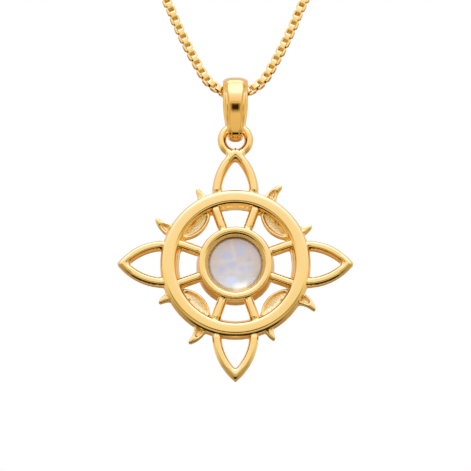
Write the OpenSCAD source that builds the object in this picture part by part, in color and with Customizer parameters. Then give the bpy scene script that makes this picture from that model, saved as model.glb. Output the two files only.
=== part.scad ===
// Moonstone necklace: a pierced cross-and-ring pendant with four crescent moons and a
// round bezel, hung by a tapered bail on a fine box chain that makes a whole loop.
// Millimetres, +Z up, front faces -Y, X to the wearer's left.
// The origin is the middle of the clasp, where the loop rests on the nape.

/* [Pendant] */
// Tip to tip across the four pointed arms
pendant_span = 30; // [29.8:0.05:30.2]
// Outer radius of the wide ring
ring_outer_r = 9.5; // [9.4:0.05:9.6]
// Width of the wide ring's band
ring_w = 2.35; // [2.25:0.05:2.45]
// Thickness of the casting, front to back
frame_t = 2.3; // [2.2:0.05:2.4]
// Width of an arm's strip
arm_w = 0.98; // [0.94:0.01:1.04]
// Radius of the arc that each side of an arm follows
arm_arc_r = 7.2; // [7.1:0.02:7.3]
// Width of a spoke between the bezel and the ring
spoke_w = 1; // [0.9:0.02:1.06]
// Angle of a spoke from its arm's axis
spoke_angle = 19.6; // [19:0.1:20.2]

/* [Crescents] */
// Radius of a crescent's outer curve
moon_r = 3.55; // [3.4:0.05:3.7]
// Radius of the curve that hollows it out
moon_cut_r = 3.05; // [3:0.01:3.1]
// Distance between the centres of those two curves
moon_shift = 1.75; // [1.7:0.01:1.8]
// Distance of the outer curve's centre from the middle of the pendant
moon_place_r = 9.55; // [9.5:0.05:9.7]
// Thickness of a crescent
moon_t = 1.35; // [1.2:0.05:1.5]
// Width of its raised rim
moon_rim_w = 0.26; // [0.22:0.01:0.3]
// Depth of the rough floor below the rim
moon_floor_depth = 0.35; // [0.25:0.05:0.45]

/* [Bezel and stone] */
// Outer radius of the cup
bezel_outer_r = 4.95; // [4.85:0.05:5.05]
// Depth of the cup, front to back
bezel_depth = 3.3; // [3.1:0.1:3.6]
// Radius of the round moonstone
stone_r = 3.5; // [3.4:0.02:3.52]

/* [Bail and loop] */
// Radius of the soldered loop's centre line
loop_r = 1.72; // [1.7:0.01:1.74]
// Thickness of the loop's wire
loop_wire_d = 1.04; // [0.98:0.01:1.06]
// Width of the bail across its top
bail_top_w = 3.2; // [3:0.05:3.3]
// Width of the bail at its foot
bail_foot_w = 1.6; // [1.5:0.02:1.66]

/* [Chain] */
// Width of the box chain
chain_d = 1.15; // [1.1:0.01:1.2]

/* [Hidden] */
$fn = 72;

// Colours
gold = "#f2c56b";
milk = "#d9d2d4";

// Where the drop hangs: the lowest point of the chain's centre line
hang_y = -118;
hang_z = -126;
// Middle of the pendant below that point, and how far its front stands forward of it
pendant_drop = 21.67;
pendant_front = 1;

// Pendant, in its own frame: X right, Y up, Z to the viewer, ring's crown at Z = 0
arm_dome = 0.42;
arm_crown = -0.1;
arm_mid_tip = pendant_span / 2 - 0.72;
arm_tip_angle = 48;
tip_bead_r = 0.62;
tip_bead_in = 1.02;
arm_foot_angle = -8;
cap_bead_r = 0.6;
cap_bead_up = 14.14;
cap_bead_aside = 0.54;
bead_sink = 0.04;
spoke_dome = 0.42;
spoke_crown = -0.16;
spoke_in_r = 4.3;
spoke_out_r = 7.95;
moon_front = -0.8;
moon_turn = 36.4;
horn_r = 0.2;
horn_solid = 3.5;
horn_x = ((moon_r - horn_r) ^ 2 - (moon_cut_r + horn_r) ^ 2 + moon_shift ^ 2) / (2 * moon_shift);
horn_y = sqrt((moon_r - horn_r) ^ 2 - horn_x ^ 2);
cone_foot_r = 3.32;
cone_foot_z = -0.72;
cone_step = 0.15;
pocket_r = 3.6;
cup_floor = 0.55;
stone_gap = 0.05;
stone_top = -0.45;
stone_edge_r = 3.25;
table_edge_r = 2.82;
girdle_top = -1.17;
girdle_foot = -1.47;
facet = 1.2;
facet_turn = 6;
facet_curve = 0.04;
facet_rows = 2;
loop_up = 15.99;
far = 20;

// Front of the wide ring, from its outer edge inwards: share of its width, depth.
// It slopes outwards a little, and rolls over sharply at both sides
ring_front = [
    [0, 0.95], [0.03, 0.58], [0.06, 0.4], [0.094, 0.28], [0.128, 0.205], [0.17, 0.145], [0.213, 0.105],
    [0.298, 0.05], [0.426, 0.01], [0.519, 0], [0.596, 0.02], [0.638, 0.06], [0.668, 0.105],
    [0.702, 0.185], [0.736, 0.29], [0.838, 0.68], [0.894, 1], [0.945, 1.45],
];
// Front of the cup's lip, inwards: distance in from its outer edge, depth
lip_front = [
    [0, 0.95], [0.07, 0.72], [0.15, 0.4], [0.25, 0.2], [0.35, 0.1], [0.45, 0.035], [0.58, 0],
    [0.7, 0.005], [0.8, 0.045], [0.89, 0.1], [0.97, 0.19], [1.11, 0.4],
];

// Bail, in its own frame: Y to the back, Z up, chain's centre at the origin.
// A row for each station of one side, from the top down to the foot: how far out,
// how high, half the width in front, half the width behind, how thick,
// how much the outside is domed, how much the inside is domed
OUT = 0;
UP = 1;
FRONT = 2;
BACK = 3;
THICK = 4;
CROWN = 5;
BELLY = 6;
top_half = bail_top_w / 2;
foot_half = bail_foot_w / 2;
bail_side = [
    [0.00, 1.88, top_half, top_half, 1.04, 0.40, 0.12],
    [0.46, 1.79, top_half, top_half, 1.04, 0.40, 0.12],
    [0.97, 1.60, top_half, top_half, 1.04, 0.40, 0.12],
    [1.39, 1.35, top_half, top_half, 1.04, 0.38, 0.12],
    [1.81, 0.90, top_half * 0.99, top_half, 1.03, 0.36, 0.12],
    [2.20, 0.30, top_half * 0.99, top_half, 1.01, 0.34, 0.12],
    [2.52, -0.43, top_half * 0.98, top_half, 1.00, 0.32, 0.12],
    [2.67, -1.38, top_half * 0.95, top_half * 0.98, 0.99, 0.31, 0.12],
    [2.57, -2.48, top_half * 0.86, top_half * 0.90, 0.97, 0.30, 0.12],
    [2.35, -3.65, top_half * 0.75, top_half * 0.79, 0.94, 0.29, 0.14],
    [2.15, -4.54, top_half * 0.66, top_half * 0.70, 0.92, 0.29, 0.18],
    [2.02, -4.88, foot_half * 1.23, foot_half * 1.29, 0.92, 0.30, 0.22],
    [1.84, -5.04, foot_half * 1.16, foot_half * 1.21, 0.96, 0.32, 0.28],
    [1.46, -5.13, foot_half * 1.09, foot_half * 1.13, 1.03, 0.36, 0.34],
    [0.91, -5.20, foot_half * 1.04, foot_half * 1.06, 1.09, 0.42, 0.40],
    [0.36, -5.23, foot_half, foot_half, 1.14, 0.48, 0.44],
    [0.00, -5.24, foot_half, foot_half, 1.16, 0.50, 0.46],
];
bail_edges = 6;

// Clasp: a plain ring with a cap at each side that takes the chain's end
clasp_ring_r = 2.1;
clasp_wire_r = 0.6;
cap_r = 0.78;
cap_in = 2.3;
cap_out = 4.56;

// Route of the chain's centre line, right side, from the hanging point to the nape,
// as it lies round a neck: across, back and up
route_half = [
    [0, -118, -126],
    [1.4, -118, -125.5],
    [3.5, -118, -124],
    [5.1, -118, -121.4],
    [6.4, -118, -118.9],
    [7.6, -118, -116.3],
    [8.7, -117.9, -113.7],
    [14.5, -116.5, -101],
    [21, -112.5, -87.5],
    [28, -105.5, -74],
    [35.5, -96, -61],
    [43, -84.5, -49.5],
    [49, -71.5, -39],
    [52.5, -57.5, -30],
    [53.4, -44, -22.5],
    [51.2, -31.5, -16],
    [45.2, -20.5, -10.5],
    [36.5, -11.5, -6.5],
    [26, -5, -3],
    [14.5, -1, -0.6],
    [4.62, 0, 0],
];
rings_per_span = 2;
tube_sides = 8;

// Finest step of a skin's points
grid = 0.0001;

function flip(p) = [-p[0], p[1], p[2]];
function on_grid(p) = [for (c = p) round(c / grid) * grid];
function unit(v) = v / norm(v);
function last(list) = len(list) - 1;

// Whole route: right end, down to the hanging point, up to the left end
route = concat(
    [for (i = [last(route_half):-1:0]) route_half[i]],
    [for (i = [1:last(route_half)]) flip(route_half[i])]
);

// Point at fraction t of span i, on a smooth curve through the points of p
function held(p, i) = p[max(0, min(last(p), i))];
function curve_at(p, i, t) =
    let (a = held(p, i - 1), b = held(p, i), c = held(p, i + 1), d = held(p, i + 2))
    0.5 * (2 * b + (c - a) * t + (2 * a - 5 * b + 4 * c - d) * t * t
        + (3 * b - a - 3 * c + d) * t * t * t);
function curve(p, n) = concat(
    [for (i = [0:last(p) - 1], k = [0:n - 1]) curve_at(p, i, k / n)],
    [p[last(p)]]
);
function heading(line, i) =
    unit(line[min(last(line), i + 1)] - line[max(0, i - 1)]);

// Faces of a skin over rings of n points: sides, then the two ends of an open one
function side_faces(rings, n, closed) = [
    for (i = [0:rings - (closed ? 1 : 2)], k = [0:n - 1])
        let (j = (i + 1) % rings, m = (k + 1) % n)
        [j * n + k, i * n + k, i * n + m, j * n + m]
];
function end_faces(rings, n) = [
    [for (k = [n - 1:-1:0]) k],
    [for (k = [0:n - 1]) (rings - 1) * n + k]
];

module tube(line, r, n) {
    points = [
        for (i = [0:last(line)])
            let (
                ahead = i == 0 || i == last(line) ? [-1, 0, 0] : heading(line, i),
                side = unit(cross(ahead, [0, 0, 1])),
                up = cross(side, ahead)
            )
            for (k = [0:n - 1])
                let (a = 360 * (k + 0.5) / n)
                on_grid(line[i] + r * (cos(a) * side + sin(a) * up))
    ];
    polyhedron(points, concat(side_faces(len(line), n, false), end_faces(len(line), n)));
}

// A strip's section: flat back, upright sides, domed front with its crown at Y = 0
module domed_strip(w, dome, t) {
    r = (w * w / 4 + dome * dome) / (2 * dome);
    intersection() {
        union() {
            translate([0, -r]) circle(r);
            translate([-r, -t]) square([2 * r, t - r]);
        }
        translate([-w / 2, -t]) square([w, t]);
    }
}

module wide_ring() {
    rotate_extrude()
        polygon(concat(
            [for (p = ring_front) [ring_outer_r - p[0] * ring_w, -p[1]]],
            [[ring_outer_r - ring_w, -frame_t], [ring_outer_r, -frame_t]]
        ));
}

// The arm that points up: two arcs mitred at the tip
module arm() {
    centre = [-arm_arc_r * cos(arm_tip_angle), arm_mid_tip - arm_arc_r * sin(arm_tip_angle)];
    for (side = [0, 1])
        mirror([side, 0, 0])
            intersection() {
                translate([centre[0], centre[1], arm_crown])
                    rotate_extrude(angle = 70 - arm_foot_angle, start = arm_foot_angle)
                        translate([arm_arc_r, 0]) domed_strip(arm_w, arm_dome, frame_t + arm_crown);
                translate([0, 0, -far / 2]) cube(far);
            }
    translate([0, pendant_span / 2 - tip_bead_in, 0]) bead(tip_bead_r, arm_dome);
}

// A round domed boss, a little below the arms' crown
module bead(r, dome) {
    translate([0, 0, arm_crown - bead_sink])
        rotate_extrude() intersection() {
            domed_strip(2 * r, dome, frame_t + arm_crown - bead_sink);
            translate([0, -far]) square(2 * far);
        }
}

module spoke() {
    translate([spoke_in_r, 0, spoke_crown])
        rotate([90, 0, 90])
            linear_extrude(spoke_out_r - spoke_in_r)
                domed_strip(spoke_w, spoke_dome, frame_t + spoke_crown);
}

// Outline of a crescent between its two curves, shrunk by inset, and cut off where the
// rounded points of the horns begin; a shrunk one leaves more of each horn solid
module crescent_field(inset) {
    difference() {
        circle(moon_r - inset);
        translate([moon_shift, 0]) circle(moon_cut_r + inset);
        translate([horn_x - horn_solid * inset, -moon_r]) square(2 * moon_r);
    }
}

// The crescent on the first diagonal, its horns outwards
module crescent() {
    translate([moon_place_r * cos(45), moon_place_r * sin(45), moon_front])
        rotate(moon_turn)
            difference() {
                translate([0, 0, -moon_t])
                    linear_extrude(moon_t)
                        union() {
                            crescent_field(0);
                            for (side = [-1, 1])
                                translate([horn_x, side * horn_y]) circle(horn_r);
                        }
                translate([0, 0, -moon_floor_depth]) linear_extrude(1) crescent_field(moon_rim_w);
            }
}

// The cup: a rolled lip, a cone down to the stone, and a pocket that holds it
module bezel() {
    rotate_extrude()
        difference() {
            polygon(concat(
                [for (p = lip_front) [bezel_outer_r - p[0], -p[1]]],
                [
                    [cone_foot_r, cone_foot_z], [0, cone_foot_z],
                    [0, -bezel_depth], [bezel_outer_r, -bezel_depth],
                ]
            ));
            translate([0, cone_foot_z - cone_step]) square([cone_foot_r, 1]);
            translate([0, cup_floor - bezel_depth])
                square([pocket_r, bezel_depth - cup_floor + cone_foot_z - cone_step]);
        }
}

module loop() {
    translate([0, loop_up, -pendant_front])
        rotate_extrude() translate([loop_r, 0]) circle(d = loop_wire_d);
}

// Puts a pendant piece where it hangs, its front towards -Y
module hung() {
    translate([0, hang_y - pendant_front, hang_z - pendant_drop]) rotate([90, 0, 0]) children();
}

module pendant_frame() {
    color(gold)
        hung()
            union() {
                wide_ring();
                bezel();
                loop();
                for (side = [-1, 1])
                    translate([side * cap_bead_aside, cap_bead_up, 0]) bead(cap_bead_r, arm_dome);
                for (quarter = [0:3])
                    rotate(90 * quarter) {
                        arm();
                        crescent();
                        for (side = [-1, 1]) rotate(90 + side * spoke_angle) spoke();
                    }
            }
}

// All that lies under the plane of one facet, whose middle is at p on a shallow dome
module under_facet(p) {
    far_out = norm(p);
    translate([p[0], p[1], stone_top + facet_curve * (facet * facet - far_out * far_out)])
        rotate(a = atan(2 * facet_curve * far_out), v = [-p[1], p[0], 0])
            translate([-far / 2, -far / 2, -far]) cube(far);
}

// Round stone: square table, a field of square facets round it, girdle, base
module moonstone() {
    base = cup_floor - bezel_depth + stone_gap;
    color(milk)
        hung()
            rotate(facet_turn)
                intersection() {
                    rotate_extrude()
                        polygon([
                            [0, base], [stone_r - 0.4, base], [stone_r, girdle_foot],
                            [stone_r, girdle_top], [stone_edge_r, cone_foot_z - cone_step],
                            [table_edge_r, stone_top], [0, stone_top],
                        ]);
                    intersection_for (i = [-facet_rows:facet_rows + 1], j = [-facet_rows:facet_rows + 1])
                        under_facet([i - 0.5, j - 0.5] * facet);
                }
}

// Section of the band: across and outwards, domed outside and inside
function arc_row(half, height, dome, sign) = [
    for (k = [0:bail_edges])
        let (x = 2 * k / bail_edges - 1)
        [sign * half * x, sign * (height - dome * x * x)]
];
function band_section(half, thick, crown, belly) = concat(
    arc_row(half, thick / 2, crown, 1),
    arc_row(half, thick / 2, belly, -1)
);

// One closed band: down the front, round the foot and up the back
module bail() {
    front = [for (r = bail_side) [-r[OUT], r[UP], r[FRONT], r[THICK], r[CROWN], r[BELLY]]];
    back = [for (r = bail_side) [r[OUT], r[UP], r[BACK], r[THICK], r[CROWN], r[BELLY]]];
    rows = concat(front, [for (i = [last(back) - 1:-1:1]) back[i]]);
    count = len(rows);
    middle = [for (r = rows) [0, r[0], r[1]]];
    points = [
        for (i = [0:count - 1])
            let (
                r = rows[i],
                along = unit(middle[(i + 1) % count] - middle[(i + count - 1) % count]),
                out = [0, along[2], -along[1]]
            )
            for (p = band_section(r[2], r[3], r[4], r[5]))
                on_grid(middle[i] + [p[0], 0, 0] + p[1] * out)
    ];
    color(gold)
        translate([0, hang_y, hang_z])
            polyhedron(points, side_faces(count, len(points) / count, true));
}

module clasp() {
    color(gold)
        union() {
            rotate([90, 0, 0]) rotate_extrude() translate([clasp_ring_r, 0]) circle(clasp_wire_r);
            for (side = [-1, 1])
                rotate([0, 90 * side, 0]) translate([0, 0, cap_in]) cylinder(r = cap_r, h = cap_out - cap_in);
        }
}

module chain() {
    color(gold) tube(curve(route, rings_per_span), chain_d / 2 / cos(180 / tube_sides), tube_sides);
}

chain();
clasp();
bail();
pendant_frame();
moonstone();
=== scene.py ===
import math

import bmesh
import bpy
from mathutils import Matrix, Vector
from mathutils.kdtree import KDTree


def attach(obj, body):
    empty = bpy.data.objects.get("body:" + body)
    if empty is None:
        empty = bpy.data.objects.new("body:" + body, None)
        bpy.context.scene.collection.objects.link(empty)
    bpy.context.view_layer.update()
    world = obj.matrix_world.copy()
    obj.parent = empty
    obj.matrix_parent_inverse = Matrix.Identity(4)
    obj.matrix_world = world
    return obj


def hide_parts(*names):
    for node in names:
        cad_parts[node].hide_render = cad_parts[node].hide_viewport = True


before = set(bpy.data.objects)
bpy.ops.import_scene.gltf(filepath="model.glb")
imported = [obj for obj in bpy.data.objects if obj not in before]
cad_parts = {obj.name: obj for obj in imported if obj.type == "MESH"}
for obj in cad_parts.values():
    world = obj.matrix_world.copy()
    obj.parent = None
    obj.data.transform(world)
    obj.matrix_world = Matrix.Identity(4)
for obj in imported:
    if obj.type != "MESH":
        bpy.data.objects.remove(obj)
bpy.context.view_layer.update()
mm = 0.001
print("frame loaded")

# Where the drop hangs: the lowest point of the chain's centre line, in millimetres
hangPoint = Vector((0, -118, -126))
pendantMid = Vector((0, -119, -147.67))  # middle of the stone, in the plane of the ring's crown


def linear(hexText):
    parts = [int(hexText[i:i + 2], 16) / 255 for i in (1, 3, 5)]
    return tuple(c / 12.92 if c <= 0.04045 else ((c + 0.055) / 1.055) ** 2.4 for c in parts) + (1,)


# Adds a node; inputs are values, or sockets to link from, by name or number. A Mix node of
# colours has its factor at 0, its colours at 6 and 7, and its result at output 2
def addNode(tree, kind, settings=None, inputs=None):
    node = tree.nodes.new(kind)
    for key, value in (settings or {}).items():
        setattr(node, key, value)
    for key, value in (inputs or {}).items():
        socket = node.inputs[key]
        if isinstance(value, bpy.types.NodeSocket):
            tree.links.new(value, socket)
        else:
            socket.default_value = value
    return node


def newPiece(name, mesh):
    piece = bpy.data.objects.new(name, mesh)
    bpy.context.scene.collection.objects.link(piece)
    return piece


# Point at fraction t between b and c, on a smooth curve through a, b, c, d
def smoothStep(a, b, c, d, t):
    return 0.5 * (2 * b + (c - a) * t + (2 * a - 5 * b + 4 * c - d) * t * t
                  + (3 * b - a - 3 * c + d) * t ** 3)


# Camera: a long lens, 10 degrees below the drop
shot = {"elevation": -10, "distance": 600, "frameWidth": 59.62, "sensor": 36,
        "near": 10, "far": 20000}  # degrees, mm
aim = Vector((0.013, -119, -144.17)) * mm
tilt = math.radians(shot["elevation"])
toCamera = Vector((0, -math.cos(tilt), math.sin(tilt)))
lens = bpy.data.cameras.new("longLens")
lens.sensor_width = shot["sensor"]
lens.lens = shot["sensor"] * shot["distance"] / shot["frameWidth"]
lens.clip_start, lens.clip_end = shot["near"] * mm, shot["far"] * mm
camera = bpy.data.objects.new("camera", lens)
bpy.context.scene.collection.objects.link(camera)
camera.location = aim + toCamera * shot["distance"] * mm
camera.rotation_mode = "QUATERNION"
camera.rotation_quaternion = (-toCamera).to_track_quat("-Z", "Y")
bpy.context.scene.camera = camera

# Light: a cloth tent, cool and bright overhead and warm below, with a dark gap under the
# drop and towards the camera, dim corners at the sides and behind, and the camera's own lens
tent = {
    # elevation in degrees: colour, strength
    "bands": [(-90, "#fff0e2", 0.78), (-60, "#fff1e4", 0.70), (-35, "#fff3e3", 0.60), (-20, "#fff9f0", 0.88),
              (-9, "#fffaf8", 0.93), (0, "#fcfcff", 1.0), (10, "#e2e4ff", 1.32), (20, "#d1d8ff", 1.6),
              (30, "#bcc8ff", 2.1), (45, "#a4b4ff", 3.4), (60, "#a8b8ff", 4.4), (78, "#a8b8ff", 4.2),
              (90, "#c4ccff", 2.4)],
    # angle to either side of the viewer, elevation, half width, half height, softness,
    # colour, strength
    "cards": [(180, 33, 100, 34, 12, "#f0eaff", 0.98), (90, -38, 52, 20, 14, "#fff0d2", 0.45),
              (90, 2, 12, 14, 8, "#ffeed0", 0.71), (180, -5, 30, 18, 10, "#ffe0b8", 0.7),
              (180, -13, 34, 13, 4, "#ffc880", 0.45), (0, -8.5, 42, 6.5, 3.5, "#ffe0b4", 0.4),
              (0, -9, 10, 5.5, 3, "#ffd0a0", 0.03)],
    # dark gap: its angle behind straight down, how that grows to the sides, half width,
    # softness, reach to the sides, level
    "gap": (-16, 0.3, 33, 7, 44, 0.02),
}
scene = bpy.context.scene
scene.view_settings.view_transform = "Standard"
world = bpy.data.worlds.new("clothTent")
scene.world = world
world.use_nodes = True
tree = world.node_tree
tree.nodes.clear()
direction = addNode(tree, "ShaderNodeTexCoord").outputs["Generated"]
axes = addNode(tree, "ShaderNodeSeparateXYZ", None, {0: direction}).outputs
height = addNode(tree, "ShaderNodeMath", {"operation": "ARCSINE"}, {0: axes["Z"]}).outputs[0]
ramp = addNode(tree, "ShaderNodeValToRGB", None, {
    0: addNode(tree, "ShaderNodeMapRange", None, {0: height, 1: -math.pi / 2, 2: math.pi / 2}).outputs[0]})
while len(ramp.color_ramp.elements) < len(tent["bands"]):
    ramp.color_ramp.elements.new(0.5)
brightest = max([band[2] for band in tent["bands"]] + [card[6] for card in tent["cards"]])
for stop, (angle, colour, strength) in zip(ramp.color_ramp.elements, tent["bands"]):
    stop.position = (angle + 90) / 180
    stop.color = [c * strength / brightest for c in linear(colour)[:3]] + [1]
forwards = addNode(tree, "ShaderNodeMath", {"operation": "MULTIPLY"}, {0: axes["Y"], 1: -1}).outputs[0]
bearing = addNode(tree, "ShaderNodeMath", {"operation": "ARCTAN2"}, {0: axes["X"], 1: forwards}).outputs[0]
sideways = addNode(tree, "ShaderNodeMath", {"operation": "ABSOLUTE"}, {0: bearing}).outputs[0]


# Mixes a colour in where each value is within its half width of its middle; values and
# middles are in radians, half widths and softness in degrees
def addCard(under, colour, soft, limits):
    factor = None
    for value, middle, half in limits:
        off = addNode(tree, "ShaderNodeMath", {"operation": "ABSOLUTE"}, {
            0: addNode(tree, "ShaderNodeMath", {"operation": "SUBTRACT"}, {0: value, 1: middle}).outputs[0]})
        edge = addNode(tree, "ShaderNodeMapRange", {"interpolation_type": "SMOOTHSTEP"}, {
            0: off.outputs[0], 1: math.radians(half + soft), 2: math.radians(half - soft)}).outputs[0]
        factor = edge if factor is None else addNode(
            tree, "ShaderNodeMath", {"operation": "MULTIPLY"}, {0: factor, 1: edge}).outputs[0]
    return addNode(tree, "ShaderNodeMix", {"data_type": "RGBA"}, {0: factor, 6: under, 7: colour}).outputs[2]


light = ramp.outputs[0]
for aside, up, halfWide, halfHigh, soft, colour, strength in tent["cards"]:
    shade = [c * strength / brightest for c in linear(colour)[:3]] + [1]
    light = addCard(light, shade, soft,
                    [(sideways, math.radians(aside), halfWide), (height, math.radians(up), halfHigh)])
gapAt, gapGrows, gapHalf, gapSoft, gapReach, gapLevel = tent["gap"]
downwards = addNode(tree, "ShaderNodeMath", {"operation": "MULTIPLY"}, {0: axes["Z"], 1: -1}).outputs[0]
pitch = addNode(tree, "ShaderNodeMath", {"operation": "ARCTAN2"}, {0: axes["Y"], 1: downwards}).outputs[0]
aside = addNode(tree, "ShaderNodeMath", {"operation": "ABSOLUTE"}, {
    0: addNode(tree, "ShaderNodeMath", {"operation": "ARCSINE"}, {0: axes["X"]}).outputs[0]}).outputs[0]
bent = addNode(tree, "ShaderNodeMath", {"operation": "MULTIPLY_ADD"}, {
    0: aside, 1: -gapGrows, 2: pitch}).outputs[0]
light = addCard(light, (gapLevel / brightest,) * 3 + (1,), gapSoft,
                [(bent, math.radians(gapAt), gapHalf), (aside, 0, gapReach)])
inTent = addNode(tree, "ShaderNodeBackground", None, {"Color": light, "Strength": brightest}).outputs[0]
plainWhite = addNode(tree, "ShaderNodeBackground", None, {"Color": (1, 1, 1, 1), "Strength": 1}).outputs[0]
# The tent's tints show in the metal; everything else is lit by plain white
seen = addNode(tree, "ShaderNodeMixShader", None, {
    0: addNode(tree, "ShaderNodeLightPath").outputs["Is Glossy Ray"], 1: plainWhite, 2: inTent}).outputs[0]
addNode(tree, "ShaderNodeOutputWorld", None, {"Surface": seen})
print("camera and light set")

# Yellow gold plate on cast metal, tumbled and polished: nearly a mirror, with the
# slight waviness that tumbling leaves, so reflections have soft edges
goldFinish = {
    "colour": "#fdd883", "deep": "#fad179", "haze": (0.05, 0.09),
    "wave": 1.6, "waveHeight": 0.003, "cloud": 4,  # mm
    "cloudRange": (0.3, 0.7),  # of the noise, from clear to hazy
}
castGold = bpy.data.materials.new("goldPlatePolished")
castGold.use_nodes = True
nodes = castGold.node_tree
nodes.nodes.clear()
place = addNode(nodes, "ShaderNodeTexCoord").outputs["Object"]
wave = addNode(nodes, "ShaderNodeTexNoise", None, {
    "Vector": place, "Scale": 1 / (goldFinish["wave"] * mm), "Detail": 3})
cloud = addNode(nodes, "ShaderNodeTexNoise", None, {
    "Vector": place, "Scale": 1 / (goldFinish["cloud"] * mm)})
tone = addNode(nodes, "ShaderNodeMix", {"data_type": "RGBA"}, {
    0: cloud.outputs[0], 6: linear(goldFinish["colour"]), 7: linear(goldFinish["deep"])})
haze = addNode(nodes, "ShaderNodeMapRange", None, {
    0: cloud.outputs[0], 1: goldFinish["cloudRange"][0], 2: goldFinish["cloudRange"][1],
    3: goldFinish["haze"][0], 4: goldFinish["haze"][1]})
bump = addNode(nodes, "ShaderNodeBump", None, {
    "Height": wave.outputs[0], "Distance": goldFinish["waveHeight"] * mm, "Strength": 1})
shader = addNode(nodes, "ShaderNodeBsdfPrincipled", None, {
    "Base Color": tone.outputs[2], "Metallic": 1, "Roughness": haze.outputs[0], "Normal": bump.outputs[0]})
addNode(nodes, "ShaderNodeOutputMaterial", None, {"Surface": shader.outputs[0]})

# The same polish on the struck bail, in a deeper yellow
struckFinish = {"colour": "#fbcd74", "deep": "#f6c366"}
struckGold = castGold.copy()
struckGold.name = "goldPlateStruck"
struckTone = struckGold.node_tree.nodes[tone.name]
struckTone.inputs[6].default_value = linear(struckFinish["colour"])
struckTone.inputs[7].default_value = linear(struckFinish["deep"])

# The same plate on sandblasted floors: matt and sparkling, lighter than the polish.
# The grit is 0.05 mm; the grain is drawn at 0.14 mm so that it shows
blastFinish = {
    "light": "#ffe096", "deep": "#f0bf6c", "roughness": 0.34,
    "grain": 0.14, "grainHeight": 0.05,  # mm
    "grainRange": (0.3, 0.62),  # of the noise, from deep to light
}
blastedGold = bpy.data.materials.new("goldPlateSandblasted")
blastedGold.use_nodes = True
nodes = blastedGold.node_tree
nodes.nodes.clear()
place = addNode(nodes, "ShaderNodeTexCoord").outputs["Object"]
grain = addNode(nodes, "ShaderNodeTexNoise", None, {
    "Vector": place, "Scale": 1 / (blastFinish["grain"] * mm), "Detail": 1})
spread = addNode(nodes, "ShaderNodeMapRange", None, {
    0: grain.outputs[0], 1: blastFinish["grainRange"][0], 2: blastFinish["grainRange"][1]})
tone = addNode(nodes, "ShaderNodeMix", {"data_type": "RGBA"}, {
    0: spread.outputs[0], 6: linear(blastFinish["deep"]), 7: linear(blastFinish["light"])})
bump = addNode(nodes, "ShaderNodeBump", None, {
    "Height": grain.outputs[0], "Distance": blastFinish["grainHeight"] * mm, "Strength": 1})
shader = addNode(nodes, "ShaderNodeBsdfPrincipled", None, {
    "Base Color": tone.outputs[2], "Metallic": 1, "Roughness": blastFinish["roughness"],
    "Normal": bump.outputs[0]})
addNode(nodes, "ShaderNodeOutputMaterial", None, {"Surface": shader.outputs[0]})

# Milky moonstone, faceted and polished: light scatters under a glassy skin. The square facets of its back are
# painted into its colour as soft bluish patches of painted sheen and reflection, and painted light makes it
# brighter towards the foot
stoneFinish = {
    # height over the stone's middle in mm: colour of the milk there, with painted shade darkening it towards
    # the top and painted light whitening it towards the foot
    "milk": [(-3.3, "#ffffff"), (-2.6, "#f8faff"), (-1.6, "#ebe7ec"), (-0.4, "#e6dddb"), (1, "#e2d6d0"),
             (2.2, "#dccdc0"), (3.3, "#d0b690")],
    # painted reflections of the back's facets, as patches of painted sheen: left, right, foot, top in mm, and
    # which of the tints below
    "facets": [(-1.96, -0.26, 0.6, 1.7, "blue"), (0.34, 1.24, 0.8, 2.7, "blue"),
               (-1.16, 0.14, -0.55, 0.35, "blue"), (-2.41, -1.36, -1.1, -0.15, "blue"),
               (0.39, 0.99, -1.15, -0.3, "blue"), (1.54, 2.19, -1.15, -0.5, "blue"),
               (-1.4, 0, -2.6, -1.7, "lavender"), (1.54, 2.09, -0.1, 0.6, "grey"),
               (-0.2, -0.08, 0.6, 3, "seamHighlight"), (0.27, 0.37, -3, -0.4, "seamHighlight"), (-3.1, 0.3, 0.42, 0.54, "seamHighlight"),
               (0.4, 2.4, -0.24, -0.12, "seamHighlight"), (-2.6, 2.2, -1.5, -1.38, "seamHighlight"),
               (-2.7, -1.9, -0.2, 2.2, "warm"), (2.2, 3.1, -2, 0.4, "warm"), (-0.5, 1.3, -3.4, -2.6, "flash")],
    # tint: colour, how strongly it covers the milk, whether it is also painted as glowing light. Blue and
    # lavender are painted bluish sheen, grey a darker painted reflection, the seam lines painted highlights
    # along facet edges, warm painted warm reflections near the sides, and flash a painted highlight at the foot
    "tints": {"blue": ("#b9cdfb", 0.44, False), "lavender": ("#cfdcff", 0.75, True),
              "grey": ("#bdb9bb", 0.5, False), "seamHighlight": ("#fff6ec", 0.4, False),
              "warm": ("#e6d2b6", 0.5, False), "flash": ("#ffffff", 0.9, True)},
    # the glow is painted light: some patches send out light though the stone is no lamp
    "glow": 0.3, "turn": 6,  # strength, degrees
    "edge": 0.42, "ripple": 0.7, "rippleBy": 0.5,  # mm
    "roughness": 0.06, "ior": 1.52, "scatter": 0.2, "scatterDepth": 0.3,
}
moonstone = bpy.data.materials.new("moonstoneMilky")
moonstone.use_nodes = True
nodes = moonstone.node_tree
nodes.nodes.clear()
place = addNode(nodes, "ShaderNodeTexCoord").outputs["Object"]
centred = addNode(nodes, "ShaderNodeMapping", {"vector_type": "TEXTURE"}, {
    "Vector": place, "Location": pendantMid * mm, "Scale": (mm, mm, mm)}).outputs[0]
ripple = addNode(nodes, "ShaderNodeTexNoise", None, {
    "Vector": centred, "Scale": 1 / stoneFinish["ripple"], "Detail": 1})
ripple = addNode(nodes, "ShaderNodeVectorMath", {"operation": "SUBTRACT"}, {
    0: ripple.outputs["Color"], 1: (0.5, 0.5, 0.5)})
rippled = addNode(nodes, "ShaderNodeVectorMath", {"operation": "MULTIPLY_ADD"}, {
    0: ripple.outputs[0], 1: (stoneFinish["rippleBy"],) * 3, 2: centred}).outputs[0]
straight = addNode(nodes, "ShaderNodeSeparateXYZ", None, {0: rippled}).outputs
turned = addNode(nodes, "ShaderNodeVectorRotate", {"rotation_type": "Y_AXIS"}, {
    "Vector": rippled, "Angle": math.radians(stoneFinish["turn"])}).outputs[0]
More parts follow.
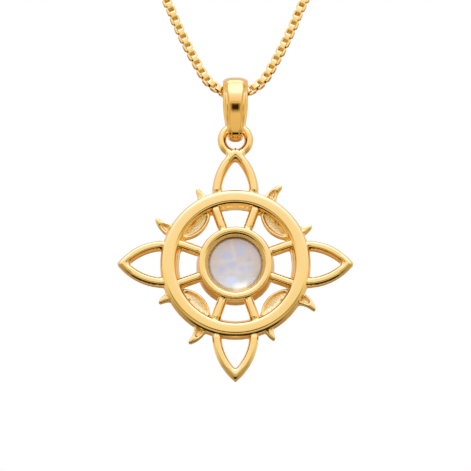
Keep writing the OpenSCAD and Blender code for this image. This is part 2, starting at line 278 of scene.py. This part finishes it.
across = addNode(nodes, "ShaderNodeSeparateXYZ", None, {0: turned}).outputs
stops = stoneFinish["milk"]
low, high = stops[0][0], stops[-1][0]
# this ramp is the milk's colour plus painted shade, darker towards the top, and painted light, white at the
# foot
milk = addNode(nodes, "ShaderNodeValToRGB", None, {
    0: addNode(nodes, "ShaderNodeMapRange", None, {0: straight[2], 1: low, 2: high}).outputs[0]})
while len(milk.color_ramp.elements) < len(stops):
    milk.color_ramp.elements.new(0.5)
for stop, (at, colour) in zip(milk.color_ramp.elements, stops):
    stop.position = (at - low) / (high - low)
    stop.color = linear(colour)
tone, glow = milk.outputs[0], (0, 0, 0, 1)
# each patch paints a reflection or sheen of a back facet into the stone's colour
for left, right, foot, top, name in stoneFinish["facets"]:
    tint, share, glows = stoneFinish["tints"][name]
    factor = None
    for value, start, end in ((across[0], left, right), (across[2], foot, top)):
        off = addNode(nodes, "ShaderNodeMath", {"operation": "ABSOLUTE"}, {
            0: addNode(nodes, "ShaderNodeMath", {"operation": "SUBTRACT"}, {
                0: value, 1: (start + end) / 2}).outputs[0]})
        edge = addNode(nodes, "ShaderNodeMapRange", {"interpolation_type": "SMOOTHSTEP"}, {
            0: off.outputs[0], 1: (end - start) / 2 + stoneFinish["edge"],
            2: (end - start) / 2 - stoneFinish["edge"]})
        factor = edge.outputs[0] if factor is None else addNode(
            nodes, "ShaderNodeMath", {"operation": "MULTIPLY"}, {0: factor, 1: edge.outputs[0]}).outputs[0]
    factor = addNode(nodes, "ShaderNodeMath", {"operation": "MULTIPLY"}, {0: factor, 1: share}).outputs[0]
    tone = addNode(nodes, "ShaderNodeMix", {"data_type": "RGBA"}, {
        0: factor, 6: tone, 7: linear(tint)}).outputs[2]
    # glowing tints add painted light, sent out as emission
    if glows:
        glow = addNode(nodes, "ShaderNodeMix", {"data_type": "RGBA"}, {
            0: factor, 6: glow, 7: linear(tint)}).outputs[2]
shader = addNode(nodes, "ShaderNodeBsdfPrincipled", None, {
    "Base Color": tone, "Roughness": stoneFinish["roughness"], "IOR": stoneFinish["ior"],
    "Emission Color": glow, "Emission Strength": stoneFinish["glow"],
    "Subsurface Weight": stoneFinish["scatter"], "Subsurface Radius": (1, 0.9, 0.9),
    "Subsurface Scale": stoneFinish["scatterDepth"] * mm})
addNode(nodes, "ShaderNodeOutputMaterial", None, {"Surface": shader.outputs[0]})

# The same plate on the chain's stamped links, whose flats are cut bright: the tone
# changes every link or two, and their reflections are softer than the casting's
linkFinish = {"colour": "#fad67c", "deep": "#f4c868", "haze": 0.12, "cloud": 1.3}  # cloud in mm
brightGold = bpy.data.materials.new("goldPlateBrightCut")
brightGold.use_nodes = True
nodes = brightGold.node_tree
nodes.nodes.clear()
place = addNode(nodes, "ShaderNodeTexCoord").outputs["Object"]
cloud = addNode(nodes, "ShaderNodeTexNoise", None, {
    "Vector": place, "Scale": 1 / (linkFinish["cloud"] * mm)})
tone = addNode(nodes, "ShaderNodeMix", {"data_type": "RGBA"}, {
    0: cloud.outputs[0], 6: linear(linkFinish["colour"]), 7: linear(linkFinish["deep"])})
shader = addNode(nodes, "ShaderNodeBsdfPrincipled", None, {
    "Base Color": tone.outputs[2], "Metallic": 1, "Roughness": linkFinish["haze"]})
addNode(nodes, "ShaderNodeOutputMaterial", None, {"Surface": shader.outputs[0]})

# Matt white paper on the studio floor
paperFinish = {"light": "#cdcac5", "deep": "#c9c6c1", "fibre": 3, "roughness": 0.9}  # fibre in mm
paper = bpy.data.materials.new("whitePaper")
paper.use_nodes = True
nodes = paper.node_tree
nodes.nodes.clear()
fibre = addNode(nodes, "ShaderNodeTexNoise", None, {
    "Vector": addNode(nodes, "ShaderNodeTexCoord").outputs["Object"],
    "Scale": 1 / (paperFinish["fibre"] * mm)})
tone = addNode(nodes, "ShaderNodeMix", {"data_type": "RGBA"}, {
    0: fibre.outputs[0], 6: linear(paperFinish["deep"]), 7: linear(paperFinish["light"])})
shader = addNode(nodes, "ShaderNodeBsdfPrincipled", None, {
    "Base Color": tone.outputs[2], "Roughness": paperFinish["roughness"]})
addNode(nodes, "ShaderNodeOutputMaterial", None, {"Surface": shader.outputs[0]})
print("materials made")

# Floor
floor = {"height": -0.45, "radius": 4, "sides": 96}  # metres
builder = bmesh.new()
bmesh.ops.create_circle(builder, cap_ends=True, segments=floor["sides"], radius=floor["radius"],
                        matrix=Matrix.Translation((0, 0, floor["height"])))
floorMesh = bpy.data.meshes.new("floor")
builder.to_mesh(floorMesh)
builder.free()
floorMesh.materials.append(paper)
floorPiece = newPiece("floor", floorMesh)
floorPiece.visible_glossy = False

# Fine box chain
boxChain = {
    "pitch": 0.64, "length": 1.13, "width": 1.15, "strip": 0.64, "thick": 0.24,  # mm
    "corner": 0.18, "cornerSteps": 3, "neckY": -50, "crease": 50, "roll": 13, "play": 1.5,  # mm, degrees
    "seed": 4,
}
# Centre line of one side, from the hanging point to the nape, as the chain lies round a neck
routeHalf = [
    (0, -118, -126), (1.4, -118, -125.5), (3.5, -118, -124), (5.1, -118, -121.4), (6.4, -118, -118.9),
    (7.6, -118, -116.3), (8.7, -117.9, -113.7), (14.5, -116.5, -101), (21, -112.5, -87.5), (28, -105.5, -74),
    (35.5, -96, -61), (43, -84.5, -49.5), (49, -71.5, -39), (52.5, -57.5, -30), (53.4, -44, -22.5),
    (51.2, -31.5, -16), (45.2, -20.5, -10.5), (36.5, -11.5, -6.5), (26, -5, -3), (14.5, -1, -0.6), (4.62, 0, 0),
]
stepsPerSpan = 16
route = [Vector(p) for p in reversed(routeHalf)] + [Vector((-x, y, z)) for x, y, z in routeHalf[1:]]
line = []
for i in range(len(route) - 1):
    a, b, c, d = (route[max(0, min(len(route) - 1, i + k))] for k in (-1, 0, 1, 2))
    line += [smoothStep(a, b, c, d, k / stepsPerSpan) * mm for k in range(stepsPerSpan)]
line.append(route[-1] * mm)
lineLength = sum((q - p).length for p, q in zip(line, line[1:]))

tree = bpy.data.node_groups.new("boxChainLinks", "GeometryNodeTree")
tree.interface.new_socket("Geometry", in_out="INPUT", socket_type="NodeSocketGeometry")
for name, kind in (("Links", "Int"), ("Link length", "Float"), ("Link width", "Float"),
                   ("Strip width", "Float"), ("Strip thickness", "Float"), ("Corner radius", "Float"),
                   ("Roll", "Float"), ("Play", "Float"), ("Neck axis", "Vector"), ("Seed", "Int"),
                   ("Metal", "Material")):
    tree.interface.new_socket(name, in_out="INPUT", socket_type="NodeSocket" + kind)
tree.interface.new_socket("Geometry", in_out="OUTPUT", socket_type="NodeSocketGeometry")
given = addNode(tree, "NodeGroupInput").outputs
path = addNode(tree, "GeometryNodeResampleCurve", {"mode": "COUNT"}, {
    "Curve": addNode(tree, "GeometryNodeMeshToCurve", None, {0: given["Geometry"]}).outputs[0],
    "Count": given["Links"]})
# One link: a rectangle with round corners, swept with a flat strip
shorter = addNode(tree, "ShaderNodeMath", {"operation": "SUBTRACT"}, {
    0: given["Link length"], 1: given["Strip thickness"]})
narrower = addNode(tree, "ShaderNodeMath", {"operation": "SUBTRACT"}, {
    0: given["Link width"], 1: given["Strip thickness"]})
outline = addNode(tree, "GeometryNodeFilletCurve", {"mode": "POLY"}, {
    "Curve": addNode(tree, "GeometryNodeCurvePrimitiveQuadrilateral", None,
                     {"Width": shorter.outputs[0], "Height": narrower.outputs[0]}).outputs[0],
    "Count": boxChain["cornerSteps"], "Radius": given["Corner radius"]})
strip = addNode(tree, "GeometryNodeCurvePrimitiveQuadrilateral", None,
                {"Width": given["Strip thickness"], "Height": given["Strip width"]})
link = addNode(tree, "GeometryNodeCurveToMesh", None, {
    "Curve": outline.outputs[0], "Profile Curve": strip.outputs[0]})
smooth = addNode(tree, "GeometryNodeSetShadeSmooth", {"domain": "FACE"}, {
    "Geometry": link.outputs[0], "Shade Smooth": True})
sharp = addNode(tree, "FunctionNodeCompare", {"data_type": "FLOAT", "operation": "GREATER_THAN"}, {
    0: addNode(tree, "GeometryNodeInputMeshEdgeAngle").outputs[0], 1: math.radians(boxChain["crease"])})
link = addNode(tree, "GeometryNodeSetShadeSmooth", {"domain": "EDGE"}, {
    "Geometry": smooth.outputs[0], "Selection": sharp.outputs[0], "Shade Smooth": False})
# Each link lies along the path; its first strip faces out from the neck, and the next
# link is turned a quarter
outwards = addNode(tree, "ShaderNodeVectorMath", {"operation": "SUBTRACT"}, {
    0: addNode(tree, "GeometryNodeInputPosition").outputs[0], 1: given["Neck axis"]})
flatOut = addNode(tree, "ShaderNodeVectorMath", {"operation": "MULTIPLY"}, {
    0: outwards.outputs[0], 1: (1, 1, 0)})
turned = addNode(tree, "FunctionNodeAxesToRotation", {"primary_axis": "X", "secondary_axis": "Y"}, {
    "Primary Axis": addNode(tree, "GeometryNodeInputTangent").outputs[0],
    "Secondary Axis": flatOut.outputs[0]})
index = addNode(tree, "GeometryNodeInputIndex").outputs[0]
odd = addNode(tree, "FunctionNodeIntegerMath", {"operation": "MODULO"}, {0: index, 1: 2})
quarter = addNode(tree, "ShaderNodeMath", {"operation": "MULTIPLY_ADD"},
                  {0: odd.outputs[0], 1: math.pi / 2, 2: given["Roll"]})
minusPlay = addNode(tree, "ShaderNodeMath", {"operation": "MULTIPLY"}, {0: given["Play"], 1: -1})
angles = [quarter.outputs[0]]
for offset in range(3):
    seed = addNode(tree, "FunctionNodeIntegerMath", {"operation": "ADD"}, {0: given["Seed"], 1: offset})
    angles.append(addNode(tree, "FunctionNodeRandomValue", {"data_type": "FLOAT"}, {
        2: minusPlay.outputs[0], 3: given["Play"], "Seed": seed.outputs[0]}).outputs[1])
spin = addNode(tree, "ShaderNodeMath", {"operation": "ADD"}, {0: angles[0], 1: angles[1]})
euler = addNode(tree, "FunctionNodeEulerToRotation", None, {
    0: addNode(tree, "ShaderNodeCombineXYZ", None, {0: spin.outputs[0]}).outputs[0]})
wobble = addNode(tree, "FunctionNodeEulerToRotation", None, {
    0: addNode(tree, "ShaderNodeCombineXYZ", None, {1: angles[2], 2: angles[3]}).outputs[0]})
turned = addNode(tree, "FunctionNodeRotateRotation", {"rotation_space": "LOCAL"},
                 {"Rotation": turned.outputs[0], "Rotate By": euler.outputs[0]})
turned = addNode(tree, "FunctionNodeRotateRotation", {"rotation_space": "LOCAL"},
                 {"Rotation": turned.outputs[0], "Rotate By": wobble.outputs[0]})
placed = addNode(tree, "GeometryNodeInstanceOnPoints", None, {
    "Points": path.outputs[0], "Instance": link.outputs[0], "Rotation": turned.outputs[0]})
made = addNode(tree, "GeometryNodeSetMaterial", None, {
    "Geometry": addNode(tree, "GeometryNodeRealizeInstances", None, {0: placed.outputs[0]}).outputs[0],
    "Material": given["Metal"]})
addNode(tree, "NodeGroupOutput", None, {0: made.outputs[0]})

pathMesh = bpy.data.meshes.new("chainPath")
pathMesh.from_pydata(line, [(i, i + 1) for i in range(len(line) - 1)], [])
pathPiece = newPiece("chainPath", pathMesh)
links = pathPiece.modifiers.new("links", "NODES")
links.node_group = tree
values = {
    "Links": round(lineLength / (boxChain["pitch"] * mm)) + 1,
    "Link length": boxChain["length"] * mm, "Link width": boxChain["width"] * mm,
    "Strip width": boxChain["strip"] * mm, "Strip thickness": boxChain["thick"] * mm,
    "Corner radius": boxChain["corner"] * mm, "Roll": math.radians(boxChain["roll"]),
    "Play": math.radians(boxChain["play"]), "Neck axis": (0, boxChain["neckY"] * mm, 0),
    "Seed": boxChain["seed"], "Metal": brightGold,
}
for item in tree.interface.items_tree:
    if item.in_out == "INPUT" and item.name in values:
        links[item.identifier] = values[item.name]


# Turns what a piece's modifiers give into a plain mesh, its faces outwards
def plainMesh(piece, name):
    bpy.context.view_layer.update()
    mesh = bpy.data.meshes.new_from_object(piece.evaluated_get(bpy.context.evaluated_depsgraph_get()))
    mesh.name = name
    builder = bmesh.new()
    builder.from_mesh(mesh)
    if builder.calc_volume(signed=True) < 0:
        bmesh.ops.reverse_faces(builder, faces=builder.faces)
    builder.to_mesh(mesh)
    builder.free()
    bpy.data.objects.remove(piece)
    return mesh


chainMesh = plainMesh(pathPiece, "chain_links")
chainPiece = newPiece("chain_links", chainMesh)
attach(chainPiece, "necklace")
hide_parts("chain")
print("chain:", values["Links"], "links,", len(chainMesh.polygons), "faces")

# Clasp: the plain ring and caps of the frame, in the same gold
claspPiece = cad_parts["clasp"]
claspPiece.data.materials.clear()
claspPiece.data.materials.append(castGold)

# Bail: one closed band, down the front, round the foot and up the back. Its front carries
# a long raised shield with soft sides, and has softly rolled borders
bailBand = {
    "stationsPerRow": 10, "outside": 64, "rolled": 8, "inside": 12,  # counts of points
    "domePower": 3.1,  # 2 would be an even dome; more keeps its middle flat
    "roll": 0.2, "step": 0.15, "stepWidth": 0.26, "ridge": 0.03, "ridgeAt": 0.34, "ridgeWidth": 0.12,  # mm
}
# For each station: how far out, how high, half the width in front, half the width behind,
# thickness, dome outside, dome inside, half the shield's width, all in mm
bailSide = [
    (0, 1.93, 1.6, 1.6, 1.04, 0.4, 0.12, 1.2), (0.46, 1.85, 1.6, 1.6, 1.04, 0.42, 0.12, 1.2),
    (0.97, 1.65, 1.6, 1.6, 1.04, 0.46, 0.12, 1.2), (1.39, 1.37, 1.6, 1.6, 1.04, 0.5, 0.12, 1.2),
    (1.81, 0.9, 1.584, 1.6, 1.03, 0.55, 0.12, 1.17), (2.24, 0.3, 1.584, 1.6, 1.01, 0.6, 0.12, 1.09),
    (2.56, -0.3, 1.568, 1.6, 1, 0.62, 0.12, 0.97), (2.67, -0.85, 1.55, 1.59, 0.99, 0.62, 0.12, 0.88),
    (2.64, -1.35, 1.52, 1.56, 0.99, 0.58, 0.12, 0.82), (2.56, -1.9, 1.46, 1.51, 0.99, 0.54, 0.12, 0.76),
    (2.446, -2.45, 1.38, 1.43, 0.98, 0.48, 0.12, 0.74),
    (2.276, -3.13, 1.27, 1.33, 0.96, 0.42, 0.12, 0.77), (2.03, -4.05, 1.13, 1.19, 0.93, 0.4, 0.14, 0.79),
    (1.87, -4.6, 1.04, 1.1, 0.92, 0.29, 0.18, 0.64), (1.78, -4.86, 0.98, 1.03, 0.92, 0.3, 0.22, 0.5),
    (1.66, -5.02, 0.928, 0.968, 0.96, 0.32, 0.28, 0.4),
    (1.36, -5.12, 0.872, 0.904, 1.03, 0.36, 0.34, 0.4), (0.91, -5.2, 0.832, 0.848, 1.09, 0.42, 0.4, 0.4),
    (0.36, -5.23, 0.8, 0.8, 1.14, 0.48, 0.44, 0.4), (0, -5.24, 0.8, 0.8, 1.16, 0.5, 0.46, 0.4),
]
shieldEnds = (0.95, -5.0)  # heights of its top and foot, on the front
rows = [Vector((-out, up, front, thick, crown, belly, shield))
        for out, up, front, back, thick, crown, belly, shield in bailSide]
rows += [Vector((out, up, back, thick, crown, belly, shield))
         for out, up, front, back, thick, crown, belly, shield in reversed(bailSide[1:-1])]
stations = []
for i in range(len(rows)):
    a, b, c, d = (rows[(i + k) % len(rows)] for k in (-1, 0, 1, 2))
    stations += [smoothStep(a, b, c, d, k / bailBand["stationsPerRow"])
                 for k in range(bailBand["stationsPerRow"])]


# Drop down the shield's side, and the ridge beyond it, at a distance outside its edge
def bailRelief(off):
    t = min(max(off / bailBand["stepWidth"] + 0.5, 0), 1)
    ridge = bailBand["ridge"] * math.exp(-((off - bailBand["ridgeAt"]) / bailBand["ridgeWidth"]) ** 2)
    return ridge + bailBand["step"] * (1 - t * t * (3 - 2 * t))


# The band's section, across and outwards: domed outside and inside, rolled at the edges
def bandSection(half, thick, crown, belly, shield, past):
    edge = 1 - bailBand["roll"] / half
    outer = [edge * (2 * k / bailBand["outside"] - 1) for k in range(bailBand["outside"] + 1)]
    points = []
    for x in outer:
        beside = abs(half * x) - shield
        off = max(beside, past) if min(beside, past) < 0 else math.hypot(beside, past)
        relief = bailRelief(off) if past < 1 else 0
        points.append((half * x, thick / 2 - crown * abs(x) ** bailBand["domePower"] + relief))
    top = points[-1][1]
    foot = belly * edge * edge - thick / 2
    turns = [math.pi * (0.5 - k / bailBand["rolled"]) for k in range(1, bailBand["rolled"])]
    roll = [(half * edge + bailBand["roll"] * math.cos(a), (top + foot) / 2 + (top - foot) / 2 * math.sin(a))
            for a in turns]
    inner = [edge * (1 - 2 * k / bailBand["inside"]) for k in range(bailBand["inside"] + 1)]
    points += roll + [(half * x, belly * x * x - thick / 2) for x in inner]
    return points + [(-x, y) for x, y in reversed(roll)]


builder = bmesh.new()
rings = []
for i, (y, z, half, thick, crown, belly, shield) in enumerate(stations):
    ahead = stations[(i + 1) % len(stations)] - stations[i - 1]
    along = Vector((0, ahead[0], ahead[1])).normalized()
    out = Vector((0, along.z, -along.y))
    middle = hangPoint + Vector((0, y, z))
    past = max(z - shieldEnds[0], shieldEnds[1] - z) if y < 0 else 1
    rings.append([builder.verts.new((middle + Vector((x, 0, 0)) + h * out) * mm)
                  for x, h in bandSection(half, thick, crown, belly, shield, past)])
for i, ring in enumerate(rings):
    ahead = rings[(i + 1) % len(rings)]
    for k in range(len(ring)):
        m = (k + 1) % len(ring)
        builder.faces.new((ring[k], ahead[k], ahead[m], ring[m])).smooth = True
if builder.calc_volume(signed=True) < 0:
    bmesh.ops.reverse_faces(builder, faces=builder.faces)
bailMesh = bpy.data.meshes.new("bail_band")
builder.to_mesh(bailMesh)
builder.free()
bailMesh.materials.append(struckGold)
bailPiece = newPiece("bail_band", bailMesh)
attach(bailPiece, "bail")
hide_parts("bail")
print("bail:", len(bailMesh.polygons), "faces")

# Pendant frame: the frame's own form, its edges softened as a tumbled casting's
casting = {
    "voxel": 0.127, "plate": 0.045, "weld": 0.0005, "floorY": -117.85, "floorReach": 0.14,  # mm
    "smoothing": 6,  # rounds
    "floorFacing": 0.8,  # how squarely a face of the blasted floors looks to the front
}
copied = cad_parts["pendant_frame"].data.copy()
copied.materials.clear()
builder = bmesh.new()
builder.from_mesh(copied)
bmesh.ops.remove_doubles(builder, verts=builder.verts, dist=casting["weld"] * mm)
builder.to_mesh(copied)
builder.free()
rough = newPiece("castingSource", copied)
remesh = rough.modifiers.new("remesh", "REMESH")
remesh.mode = "VOXEL"
remesh.voxel_size = casting["voxel"] * mm
remesh.use_smooth_shade = True
relax = rough.modifiers.new("relax", "SMOOTH")
relax.factor = 0.5  # halfway to the neighbours' middle
relax.iterations = casting["smoothing"]
swell = rough.modifiers.new("swell", "DISPLACE")  # gives back what the smoothing takes off
swell.strength = casting["plate"] * mm
swell.mid_level = 0
castMesh = plainMesh(rough, "pendant_casting")

# Trued sections, as distance and depth behind the crown: of the ring and the cup's lip from
# the middle, of an arm's or a spoke's strip from its centre line. What the smoothing
# rounded too much goes back to them
sections = {
    "ring": [(7.38, 1.35), (7.45, 0.95), (7.5, 0.65), (7.53, 0.5), (7.58, 0.36), (7.65, 0.245), (7.72, 0.165),
             (7.79, 0.105), (7.85, 0.065), (7.91, 0.037), (7.97, 0.018), (8.1, 0.004), (8.35, 0), (8.6, 0.008),
             (8.9, 0.026), (8.97, 0.036), (9.05, 0.06), (9.12, 0.088), (9.2, 0.128), (9.28, 0.185),
             (9.35, 0.26), (9.41, 0.36), (9.46, 0.5), (9.49, 0.75), (9.5, 1.1)],
    "lip": [(3.34, 0.84), (3.44, 0.69), (3.55, 0.52), (3.66, 0.35), (3.74, 0.23), (3.81, 0.145), (3.88, 0.085),
            (3.96, 0.04), (4.05, 0.012), (4.2, 0), (4.38, 0.004), (4.47, 0.014), (4.54, 0.045),
            (4.61, 0.11), (4.66, 0.2), (4.7, 0.33), (4.74, 0.55), (4.79, 0.95), (4.86, 1.4), (4.9, 1.85),
            (4.925, 2.3), (4.935, 2.75), (4.94, 3)],
    "strip": [(-0.1, 0), (0, 0), (0.14, 0.002), (0.24, 0.014), (0.31, 0.04), (0.37, 0.085),
              (0.41, 0.145), (0.445, 0.23), (0.47, 0.36), (0.485, 0.55), (0.49, 0.8)],
    "steps": 12,  # points between two of the list
    "near": 0.28, "reach": 0.4,  # points up to near move fully, those beyond reach stay
    "hub": 1,  # nothing is trued within this of the middle
}
# Centre lines: an arm's strip is an arc about a point across and up from the middle; "from"
# and "to" end the trued part, with a soft start and end as long as "ease"
armArc = {"across": -4.818, "up": 8.929, "radius": 7.2, "crown": 0.1, "from": 9.6, "to": 13.4, "ease": 0.3}
spokes = {"angle": math.radians(19.6), "crown": 0.16, "from": 4.95, "to": 7.45, "ease": 0.2}


def sectionTree(*names):
    found = KDTree(sections["steps"] * sum(len(sections[name]) for name in names))
    for name in names:
        points = [Vector((away, depth, 0)) for away, depth in sections[name]]
        for i in range(1, len(points) - 2):
            for k in range(sections["steps"]):
                found.insert(smoothStep(*points[i - 1:i + 3], k / sections["steps"]), 0)
    found.balance()
    return found


# How far a point at a distance and a depth moves to meet the section
def trueTo(found, away, depth):
    target, _, off = found.find((away, depth, 0))
    share = min(max((sections["reach"] - off) / (sections["reach"] - sections["near"]), 0), 1)
    share = share * share * (3 - 2 * share)
    return share * (target.x - away), share * (target.y - depth)


roundTree, stripTree = sectionTree("ring", "lip"), sectionTree("strip")
for vertex in castMesh.vertices:
    away = vertex.co / mm - pendantMid
    radius = math.hypot(away.x, away.z)
    if radius > sections["hub"]:
        grow, sink = trueTo(roundTree, radius, away.y)
        away = Vector((away.x * (1 + grow / radius), away.y + sink, away.z * (1 + grow / radius)))
    minor, major = sorted((abs(away.x), abs(away.z)))
    axis = Vector((away.x, 0, 0)) if abs(away.x) > abs(away.z) else Vector((0, 0, away.z))
    beside = away - axis - Vector((0, away.y, 0))
    if radius > armArc["from"] and major < armArc["to"]:
        out = Vector((minor - armArc["across"], major - armArc["up"]))
        off = out.length - armArc["radius"]
        ease = min(1, (radius - armArc["from"]) / armArc["ease"], (armArc["to"] - major) / armArc["ease"])
        grow, sink = trueTo(stripTree, abs(off), away.y - armArc["crown"])
        push = out.normalized() * math.copysign(grow * ease, off)
        away += beside.normalized() * push.x + axis.normalized() * push.y + Vector((0, sink * ease, 0))
    elif spokes["from"] < radius < spokes["to"]:
        turn = math.atan2(minor, major) - spokes["angle"]
        off = radius * math.sin(turn)
        ease = min(1, (radius - spokes["from"]) / spokes["ease"], (spokes["to"] - radius) / spokes["ease"])
        grow, sink = trueTo(stripTree, abs(off), away.y - spokes["crown"])
        push = math.copysign(grow * ease, off)
        away += beside.normalized() * push * math.cos(spokes["angle"])
        away -= axis.normalized() * push * math.sin(spokes["angle"])
        away.y += sink * ease
    vertex.co = (away + pendantMid) * mm
castMesh.materials.clear()
castMesh.materials.append(castGold)
castMesh.materials.append(blastedGold)
for face in castMesh.polygons:
    face.use_smooth = True
    onFloor = abs(face.center.y - casting["floorY"] * mm) < casting["floorReach"] * mm
    face.material_index = 1 if onFloor and face.normal.y < -casting["floorFacing"] else 0
castPiece = newPiece("pendant_casting", castMesh)
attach(castPiece, "pendant")
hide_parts("pendant_frame")
print("pendant:", len(castMesh.polygons), "faces")

# Moonstone
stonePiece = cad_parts["moonstone"]
stonePiece.data.materials.clear()
stonePiece.data.materials.append(moonstone)
